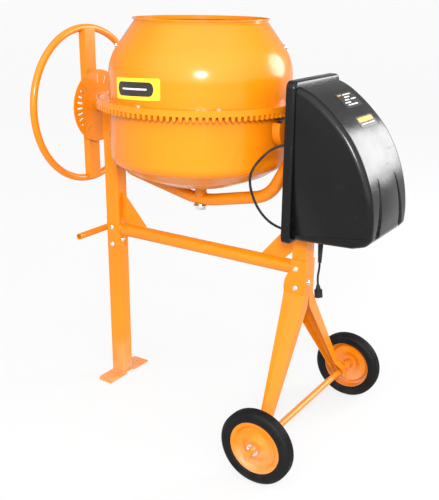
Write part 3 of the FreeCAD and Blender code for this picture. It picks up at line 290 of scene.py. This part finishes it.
def moulded_plastic(name, base, grey, rough_low, rough_high, grain, specular):
    """Moulded plastic: a fine grain, faint flow marks, scuffs and edges rubbed paler."""
    g = Graph(name)
    colour = g.mixed(g.ranged(g.noise(4, 4.0), 0.3, 0.7, 0.0, 0.7), base, grey)
    rub = g.maths("MULTIPLY", g.edges(0.003), g.spots(34, 0.45, 0.7))
    colour = g.mixed(g.maths("MULTIPLY", rub, 0.35), colour, tuple(min(1, c * 6) for c in grey))
    dust = g.maths("MULTIPLY", g.spots(120, 0.6, 0.75), g.spots(3, 0.45, 0.7))
    colour = g.mixed(g.maths("MULTIPLY", dust, 0.02), colour, (0.4, 0.38, 0.34))
    scuffs = g.spots(42, 0.6, 0.74, stretch=(1.0, 0.2, 1.0))
    rough = g.ranged(g.noise(11, 4.0), 0.3, 0.7, rough_low, rough_high)
    rough = g.maths("ADD", rough, g.maths("MULTIPLY", scuffs, 0.12))
    skin = g.bump(g.noise(900, 1.0), grain, 0.00035)
    return g.finish(colour, rough, g.bump(g.noise(10, 1.5), 0.18, 0.002, skin),
                    Specular_IOR_Level=specular)


def rubber(name, base, dusty, ground=0.0):
    g = Graph(name)
    colour = g.mixed(g.ranged(g.noise(16, 4.0), 0.3, 0.7, 0.0, 1.0), base,
                     tuple(c * 1.6 for c in base))
    dust = g.maths("MULTIPLY", g.spots(30, 0.35, 0.75), 0.30)
    if ground:
        low = g.ranged(g.height(), ground, 0.0, 0.15, 1.0)
        dust = g.maths("MULTIPLY", dust, low)
    colour = g.mixed(dust, colour, dusty)
    rough = g.ranged(g.noise(24, 3.0), 0.3, 0.7, 0.40, 0.60)
    return g.finish(colour, rough, g.bump(g.noise(700, 2.0), 0.25, 0.0004),
                    Specular_IOR_Level=0.08)


def cast_alloy(name):
    g = Graph(name)
    colour = g.mixed(g.ranged(g.noise(30, 4.0), 0.3, 0.7, 0.0, 1.0), (0.50, 0.51, 0.52),
                     (0.38, 0.39, 0.40))
    rough = g.ranged(g.noise(80, 3.0), 0.3, 0.7, 0.35, 0.55)
    return g.finish(colour, rough, g.bump(g.noise(260, 3.0), 0.35, 0.0006), Metallic=0.9)


def make_materials():
    orange = ((0.58, 0.166, 0.0030), (0.54, 0.140, 0.0022), (0.76, 0.33, 0.05))
    return {
        "orange_paint": powder_coat("orange_paint", *orange),
        "zinc_steel": zinc_plate("zinc_steel", (0.80, 0.80, 0.78), (0.60, 0.60, 0.58), 0.18, 0.36),
        "bright_steel": turned_steel("bright_steel", (0.60, 0.60, 0.60), (0.42, 0.42, 0.42)),
        "black_housing": moulded_plastic("black_housing", (0.0022, 0.0022, 0.0024),
                                         (0.0040, 0.0040, 0.0043), 0.17, 0.26, 0.10, 0.22),
        "black_cable": rubber("black_cable", (0.007, 0.007, 0.0075), (0.05, 0.047, 0.042)),
        "nickel_pins": zinc_plate("nickel_pins", (0.86, 0.84, 0.80), (0.74, 0.72, 0.68),
                                  0.12, 0.22),
        "tyre_rubber": rubber("tyre_rubber", (0.0042, 0.0042, 0.0045), (0.05, 0.047, 0.042), 0.05),
        "belt_rubber": rubber("belt_rubber", (0.014, 0.014, 0.014), (0.05, 0.05, 0.05)),
        "motor_alloy": cast_alloy("motor_alloy"),
        "red_switch": moulded_plastic("red_switch", (0.55, 0.020, 0.012), (0.48, 0.016, 0.010),
                                      0.20, 0.32, 0.08, 0.5),
    }


def dress_cad_nodes(materials):
    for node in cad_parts.values():
        for held in node.material_slots:
            held.material = materials[held.material.name.split(".")[0]]


# ---------------------------------------------------------------- mesh helpers

def link_mesh(name, bm, material, sharp=math.radians(38)):
    bmesh.ops.recalc_face_normals(bm, faces=bm.faces)
    mesh = bpy.data.meshes.new(name)
    bm.to_mesh(mesh)
    bm.free()
    obj = bpy.data.objects.new(name, mesh)
    SCENE.collection.objects.link(obj)
    mesh.materials.append(material)
    mesh.shade_smooth()
    mesh.set_sharp_from_angle(angle=sharp)
    return obj


def swept_rings(bm, rings, close_length, close_ring=True):
    """Quads between rings of points that all have the same count; returns the rings of vertices."""
    made = [[bm.verts.new(p) for p in ring] for ring in rings]
    count = len(made[0])
    spans = len(made) if close_length else len(made) - 1
    for i in range(spans):
        here, after = made[i], made[(i + 1) % len(made)]
        for j in range(count if close_ring else count - 1):
            k = (j + 1) % count
            bm.faces.new((here[j], here[k], after[k], after[j]))
    return made


def smooth_line(points, steps):
    """A Catmull-Rom line through the points."""
    ends = [points[0] * 2 - points[1], *points, points[-1] * 2 - points[-2]]
    line = []
    for i in range(1, len(ends) - 2):
        a, b, c, d = ends[i - 1:i + 3]
        for step in range(steps):
            t = step / steps
            line.append(0.5 * ((2 * b) + (c - a) * t + (2 * a - 5 * b + 4 * c - d) * t ** 2
                               + (3 * b - a - 3 * c + d) * t ** 3))
    line.append(points[-1])
    return line


# ---------------------------------------------------------------- housing

SHELL_HALF = 0.136
SHELL_EDGE = 0.018
PANEL_TOP = 0.915
PANEL_SEAM = 0.752


def cover_profile():
    """The cover's side outline from the top of the lip over the curve to the bottom, (x, z)."""
    curve = [Vector(p) for p in (
        (0.406, 1.1590), (0.4340, 1.1500), (0.469, 1.1315), (0.521, 1.0915), (0.5715, 1.0410),
        (0.6035, 0.9950), (0.6265, 0.9500), (0.6445, 0.9020), (0.6565, 0.8520), (0.6625, 0.7980),
        (0.6615, 0.7560),
    )]
    line = smooth_line(curve, 10)
    line += [Vector(p) for p in (
        (0.6604, 0.7520), (0.6575, 0.7475), (0.6520, 0.7410), (0.6465, 0.7355),
        (0.6410, 0.7318), (0.6300, 0.7282), (0.6050, 0.7210), (0.5600, 0.7185),
        (0.5000, 0.7160), (0.4500, 0.7140), (0.406, 0.712),
    )]
    return line


def panel_depth(y, z):
    """How far the surface lies below the plain curve, in the recesses beside the panel."""
    reach = (PANEL_TOP - z) / (PANEL_TOP - PANEL_SEAM)
    if reach <= 0 or reach > 1.02:
        return 0.0
    inner = 0.058 + 0.012 * reach
    outer = inner + 0.006 + 0.028 * reach
    across = abs(y)
    deep = 0.0125 * reach ** 0.85
    bulge = -0.0020 * math.sin(math.pi * min(reach, 1)) * max(0, 1 - (across / inner) ** 2)
    if across <= inner:
        return bulge
    if across >= outer:
        return 0.0
    wall = inner + 0.0028
    if across < wall:
        return deep * (across - inner) / (wall - inner)
    fall = (outer - across) / (outer - wall)
    return deep * fall * fall * (3 - 2 * fall)


COVER_LINE = cover_profile()


def cover_columns():
    """The y places across the curve, closer together at the recesses."""
    flat = SHELL_HALF - SHELL_EDGE
    half = [0, 0.015, 0.03, 0.042, 0.050]
    half += [0.054 + 0.0014 * i for i in range(int((flat - 0.054) / 0.0014))]
    half.append(flat)
    return sorted({-y for y in half} | set(half))


def housing_shell(materials):
    line = COVER_LINE
    columns = cover_columns()
    corner_steps = 6
    rings = []
    for i, point in enumerate(line):
        before, after = line[max(i - 1, 0)], line[min(i + 1, len(line) - 1)]
        along = (after - before).normalized()
        out = Vector((-along.y, along.x))
        ring = []
        for side, order in ((-1, range(corner_steps, 0, -1)), (1, range(1, corner_steps + 1))):
            edge = []
            for step in order:
                turn = math.pi / 2 * step / corner_steps
                y = side * (SHELL_HALF - SHELL_EDGE + SHELL_EDGE * math.sin(turn))
                p = point - out * SHELL_EDGE * (1 - math.cos(turn))
                x = max(p.x, line[0].x) if i not in (0, len(line) - 1) else line[0].x
                edge.append(at(x, y, p.y))
            if side < 0:
                ring += edge
                for y in columns:
                    p = point - out * panel_depth(y, point.y)
                    ring.append(at(p.x, y, p.y))
            else:
                ring += edge
        rings.append(ring)
    bm = bmesh.new()
    made = swept_rings(bm, rings, close_length=False, close_ring=False)
    for end in (0, -1):
        bm.faces.new([ring[end] for ring in made])
    shell = link_mesh("housing_shell", bm, materials["black_housing"])
    wall = shell.modifiers.new("wall", "SOLIDIFY")
    wall.thickness = 0.003
    wall.offset = -1
    finish_modifiers(shell)
    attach(shell, "stand")
    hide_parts("housing_cover")


def finish_modifiers(obj):
    graph = bpy.context.evaluated_depsgraph_get()
    mesh = bpy.data.meshes.new_from_object(obj.evaluated_get(graph))
    obj.modifiers.clear()
    obj.data = mesh


def rounded_loop(inset, x):
    """A rounded rectangle in a plane across X, drawn in from the lip's outline by inset."""
    half, low, high = 0.145 - inset, 0.700 + inset, 1.172 - inset
    radius = max(0.020 - 0.8 * inset, 0.004)
    loop = []
    for cy, cz, start in ((half - radius, high - radius, 0), (-half + radius, high - radius, 90),
                          (-half + radius, low + radius, 180), (half - radius, low + radius, 270)):
        for step in range(9):
            turn = math.radians(start + 90 * step / 8)
            loop.append(at(x, cy + radius * math.cos(turn), cz + radius * math.sin(turn)))
    return loop


def housing_lip(materials):
    section = [
        (0.3850, 0.0030), (0.3850, 0.0012), (0.3862, 0.0), (0.4020, 0.0), (0.4065, 0.0006),
        (0.4100, 0.0024), (0.4122, 0.0052), (0.4130, 0.0085), (0.4130, 0.0240), (0.4100, 0.0240),
        (0.4100, 0.0080), (0.4080, 0.0048), (0.4050, 0.0032), (0.4010, 0.0030),
    ]
    bm = bmesh.new()
    swept_rings(bm, [rounded_loop(inset, x) for x, inset in section], close_length=True)
    lip = link_mesh("housing_lip", bm, materials["black_housing"])
    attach(lip, "stand")


# ---------------------------------------------------------------- welds

def bead(name, points, closed, radius, body, materials, seed=0.0):
    """A weld bead: a low, rippled run of metal under the paint, along the points."""
    count = len(points)
    rings = []
    for i, point in enumerate(points):
        before = points[(i - 1) % count] if closed or i > 0 else point
        after = points[(i + 1) % count] if closed or i < count - 1 else point
        along = (after - before).normalized()
        side = along.orthogonal().normalized()
        if rings:
            last = rings[-1][0] - points[i - 1]
            side = (last - along * last.dot(along)).normalized()
        other = along.cross(side)
        swell = radius * (1 + 0.16 * math.sin(i * 2.1 + seed) + 0.07 * math.sin(i * 0.73 + seed))
        if not closed and i in (0, count - 1):
            swell *= 0.35
        rings.append([point + (side * math.cos(a) + other * math.sin(a)) * swell
                      for a in (math.tau * k / 8 for k in range(8))])
    bm = bmesh.new()
    made = swept_rings(bm, rings, close_length=closed)
    if not closed:
        bm.faces.new(made[0])
        bm.faces.new(made[-1])
    weld = link_mesh(name, bm, materials["orange_paint"], sharp=math.radians(80))
    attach(weld, body)


def circle(centre, axis, radius, step=0.0022, start=0.0, sweep=math.tau):
    axis = Vector(axis).normalized()
    side = axis.orthogonal().normalized()
    other = axis.cross(side)
    count = max(12, int(radius * sweep / step))
    return [centre + (side * math.cos(a) + other * math.sin(a)) * radius
            for a in (start + sweep * k / count for k in range(count))]


def straight(start, end, step=0.0022):
    count = max(4, int((end - start).length / step))
    return [start.lerp(end, k / count) for k in range(count + 1)]


def saddle_line(boss=0.0198, tube=0.0202, middle=0.749, count=60):
    """The line where the upright boss meets the yoke's lowest, level run of tube."""
    line = []
    for k in range(count):
        turn = math.tau * k / count
        across = boss * math.sin(turn)
        line.append(at(boss * math.cos(turn), across, middle + math.sqrt(tube ** 2 - across ** 2)))
    return line


def welds(materials):
    rounds = [
        ("weld_crossbar_left", at(-0.3395, 0, 0.580), (1, 0, 0), 0.0236, 0.0026, "stand"),
        ("weld_crossbar_right", at(0.3635, 0, 0.580), (1, 0, 0), 0.0236, 0.0026, "stand"),
        ("weld_trunnion_left", at(-0.3372, 0, TILT_HEIGHT), (1, 0, 0), 0.0132, 0.0022, "yoke"),
        ("weld_drum_hub", at(0, 0, 0.8000), (0, 0, 1), 0.0328, 0.0020, "drum"),
    ]
    for i, (name, centre, axis, radius, thick, body) in enumerate(rounds):
        bead(name, circle(centre, axis, radius), True, thick, body, materials, i * 1.3)
    runs = [
        ("weld_spoke_top", at(-0.4745, -0.024, TILT_HEIGHT + 0.2475),
         at(-0.4745, 0.024, TILT_HEIGHT + 0.2475), "handwheel"),
        ("weld_spoke_low", at(-0.4745, -0.024, TILT_HEIGHT - 0.2475),
         at(-0.4745, 0.024, TILT_HEIGHT - 0.2475), "handwheel"),
        ("weld_foot_front", at(-0.396, -0.0285, 0.0065), at(-0.341, -0.0285, 0.0065), "stand"),
        ("weld_foot_side", at(-0.3395, -0.027, 0.0065), at(-0.3395, 0.025, 0.0065), "stand"),
    ]
    for i, (name, start, end, body) in enumerate(runs):
        bead(name, straight(start, end), False, 0.0024, body, materials, i * 0.9)
    bead("weld_boss_low", saddle_line(), True, 0.0019, "yoke", materials)


# ---------------------------------------------------------------- plates and labels

def flat_material(name, colour, rough):
    g = Graph(name)
    shade = g.mixed(g.ranged(g.noise(40, 3.0), 0.3, 0.7, 0.0, 1.0), colour,
                    tuple(c * 0.86 for c in colour))
    level = g.ranged(g.noise(30, 3.0), 0.3, 0.7, rough, rough + 0.12)
    return g.finish(shade, level, g.bump(g.noise(600, 1.0), 0.06, 0.0002),
                    Specular_IOR_Level=0.5)


def patch(name, surface, u_range, v_range, radius, lift, thick, material, body, steps=(36, 14)):
    """A thin rounded sticker laid on a surface; surface(u, v, lift) gives points."""
    bm = bmesh.new()
    (u0, u1), (v0, v1) = u_range, v_range
    layers = []
    for height in (lift, lift + thick):
        grid = []
        for i in range(steps[0] + 1):
            row = []
            for j in range(steps[1] + 1):
                u = u0 + (u1 - u0) * i / steps[0]
                v = v0 + (v1 - v0) * j / steps[1]
                from_u = min(u - u0, u1 - u)
                if from_u < radius:
                    inset = radius - math.sqrt(max(radius ** 2 - (radius - from_u) ** 2, 0))
                    v = v0 + inset + (v1 - v0 - 2 * inset) * j / steps[1]
                row.append(bm.verts.new(surface(u, v, height)))
            grid.append(row)
        layers.append(grid)
    low, top = layers
    for i in range(steps[0]):
        for j in range(steps[1]):
            for grid in layers:
                bm.faces.new((grid[i][j], grid[i + 1][j], grid[i + 1][j + 1], grid[i][j + 1]))
    rim = [(i, 0) for i in range(steps[0])] + [(steps[0], j) for j in range(steps[1])]
    rim += [(i, steps[1]) for i in range(steps[0], 0, -1)]
    rim += [(0, j) for j in range(steps[1], 0, -1)]
    for (a, b), (c, d) in zip(rim, rim[1:] + rim[:1]):
        bm.faces.new((low[a][b], low[c][d], top[c][d], top[a][b]))
    sticker = link_mesh(name, bm, material, sharp=math.radians(50))
    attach(sticker, body)


def drum_plate():
    """A plain plate on the drum's side: a pale field with a dark rounded bar and no mark on it."""
    middle = math.radians(-96.7)
    radius = 0.2902
    lean = 0.052

    def surface(u, v, lift):
        turn = middle + u / radius
        reach = radius + lift
        return at(reach * math.cos(turn), reach * math.sin(turn), 1.1315 + v + lean * u)

    field = flat_material("plate_yellow", (0.93, 0.56, 0.015), 0.30)
    dark = flat_material("plate_black", (0.012, 0.011, 0.011), 0.28)
    patch("drum_plate", surface, (-0.0905, 0.0905), (-0.031, 0.031), 0.004, 0.0002, 0.0007,
          field, "drum")
    patch("drum_plate_bar", surface, (-0.0780, 0.0700), (-0.0205, 0.0205), 0.0185, 0.0009, 0.0004,
          dark, "drum")
    grey = flat_material("plate_grey", (0.55, 0.54, 0.52), 0.35)
    patch("drum_plate_line", surface, (-0.0560, 0.0480), (-0.0026, 0.0026), 0.0026, 0.0013, 0.0003,
          grey, "drum", (28, 4))


def cover_point(distance, y, lift):
    """The point on the cover's curve a distance along it from its top, lifted off it."""
    line = COVER_LINE
    walked = 0.0
    for a, b in zip(line, line[1:]):
        step = (b - a).length
        if walked + step >= distance:
            share = (distance - walked) / step
            p = a.lerp(b, share)
            along = (b - a).normalized()
            p += Vector((-along.y, along.x)) * lift
            return at(p.x, y, p.y)
        walked += step
    raise ValueError("that is past the end of the cover")


def housing_labels():
    """Two small plain notices on the cover's curve, with rules and blocks in place of words."""
    dark = flat_material("label_black", (0.010, 0.010, 0.010), 0.24)
    amber = flat_material("label_amber", (0.85, 0.30, 0.03), 0.30)
    pale = flat_material("label_pale", (0.62, 0.60, 0.56), 0.35)

    def surface(u, v, lift):
        return cover_point(0.052 + v, u, lift)

    patch("notice_upper", surface, (-0.020, 0.088), (0.022, 0.078), 0.002, 0.0002, 0.0005,
          dark, "stand", (12, 14))
    rows = [(0.030, -0.012, 0.010, amber), (0.030, 0.020, 0.070, pale), (0.040, 0.016, 0.050, pale),
            (0.050, 0.006, 0.034, pale), (0.050, 0.044, 0.078, pale), (0.060, -0.006, 0.030, pale),
            (0.069, 0.000, 0.064, pale)]
    for i, (v, start, end, paint) in enumerate(rows):
        patch(f"notice_upper_rule_{i}", surface, (start, end), (v - 0.0021, v + 0.0021), 0.0004,
              0.0007, 0.0003, paint, "stand", (6, 4))

    def lower(u, v, lift):
        return cover_point(0.150 + v, u, lift)

    patch("notice_lower", lower, (-0.026, 0.086), (0.014, 0.052), 0.003, 0.0002, 0.0005, dark,
          "stand", (12, 10))
    patch("notice_lower_band", lower, (-0.018, 0.078), (0.019, 0.034), 0.002, 0.0007, 0.0003, amber,
          "stand", (12, 6))
    for i, (start, end) in enumerate(((-0.014, 0.030), (0.036, 0.074))):
        patch(f"notice_lower_rule_{i}", lower, (start, end), (0.0395, 0.0430), 0.0004,
              0.0007, 0.0003, pale, "stand", (6, 4))


# ---------------------------------------------------------------- tyres

def tyre(name, node, body, y_middle, materials):
    """A solid ribbed tyre: fine ridges round the tread and rounded shoulders."""
    axle = at(WHEEL_X, y_middle, WHEEL_RADIUS)
    half, tread, seat = 0.0220, 0.1192, 0.0845
    wall = [(-0.0165, seat), (-0.0200, seat + 0.0015), (-half, seat + 0.005),
            (-half, 0.0935), (-half + 0.0010, 0.0945), (-half + 0.0010, 0.0960),
            (-half, 0.0970), (-half, 0.1040), (-half + 0.0012, 0.1090),
            (-half + 0.0040, 0.1140), (-half + 0.0078, 0.1172)]
    outline = list(wall)
    ribs = 7
    shoulder = 0.0082
    width = 2 * (half - shoulder)
    for i in range(ribs):
        start = -half + shoulder + width * i / ribs
        span = width / ribs
        crown = tread - 0.0008 * abs(2 * (i + 0.5) / ribs - 1) ** 2
        outline += [(start + 0.18 * span, crown - 0.0018), (start + 0.30 * span, crown),
                    (start + 0.82 * span, crown), (start + 0.94 * span, crown - 0.0018)]
    outline += [(-y, r) for y, r in reversed(wall)]
    outline += [(0.0, seat - 0.0006)]
    bm = bmesh.new()
    count = 144
    rings = []
    for k in range(count):
        turn = math.tau * k / count
        rings.append([axle + Vector((r * math.cos(turn), y, r * math.sin(turn)))
                      for y, r in outline])
    swept_rings(bm, rings, close_length=True)
    made = link_mesh(name, bm, materials["tyre_rubber"], sharp=math.radians(50))
    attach(made, body)
    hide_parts(node)


# ---------------------------------------------------------------- free cord

def cord_curve(name, node, points, diameter, materials):
    """A round cable along one open spline, riding on the stand in place of its plain CAD solid."""
    curve = bpy.data.curves.new(name, "CURVE")
    curve.dimensions = "3D"
    spline = curve.splines.new("NURBS")
    spline.points.add(len(points) - 1)
    for held, point in zip(spline.points, points):
        held.co = (*point, 1)
    spline.order_u = 3
    spline.use_endpoint_u = True
    spline.resolution_u = 12
    curve.bevel_depth = diameter / 2
    curve.bevel_resolution = 6
    cord = bpy.data.objects.new(name, curve)
    SCENE.collection.objects.link(cord)
    curve.materials.append(materials["black_cable"])
    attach(cord, "stand")
    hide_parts(node)
    return cord


def power_cord(materials):
    """The supply cord: straight down out of the strain relief to the plug that hangs on it."""
    points = [(0.382, -0.034, 0.626), (0.382, -0.034, 0.603), (0.377, -0.034, 0.578),
              (0.381, -0.036, 0.554)]
    cord = cord_curve("supply_cord", "power_cord", points, 0.0066, materials)


def harness_lead(materials):
    """The lead that leaves the housing's back panel high up and goes back into it lower down."""
    points = [(0.340, -0.112, 0.995), (0.270, -0.112, 0.995), (0.227, -0.196, 0.930),
              (0.219, -0.190, 0.868), (0.240, -0.164, 0.790), (0.268, -0.098, 0.728),
              (0.340, -0.098, 0.728)]
    cord = cord_curve("loop_lead", "harness_lead", points, 0.0076, materials)


add_camera()
add_stage()
SCENE.view_settings.view_transform = "Standard"
SCENE.view_settings.look = "None"
finishes = make_materials()
dress_cad_nodes(finishes)
power_cord(finishes)
harness_lead(finishes)
housing_shell(finishes)
housing_lip(finishes)
welds(finishes)
drum_plate()
housing_labels()
tyre("near_tyre", "near_wheel_tyre", "near_wheel", -WHEEL_MIDDLE, finishes)
tyre("far_tyre", "far_wheel_tyre", "far_wheel", WHEEL_MIDDLE, finishes)
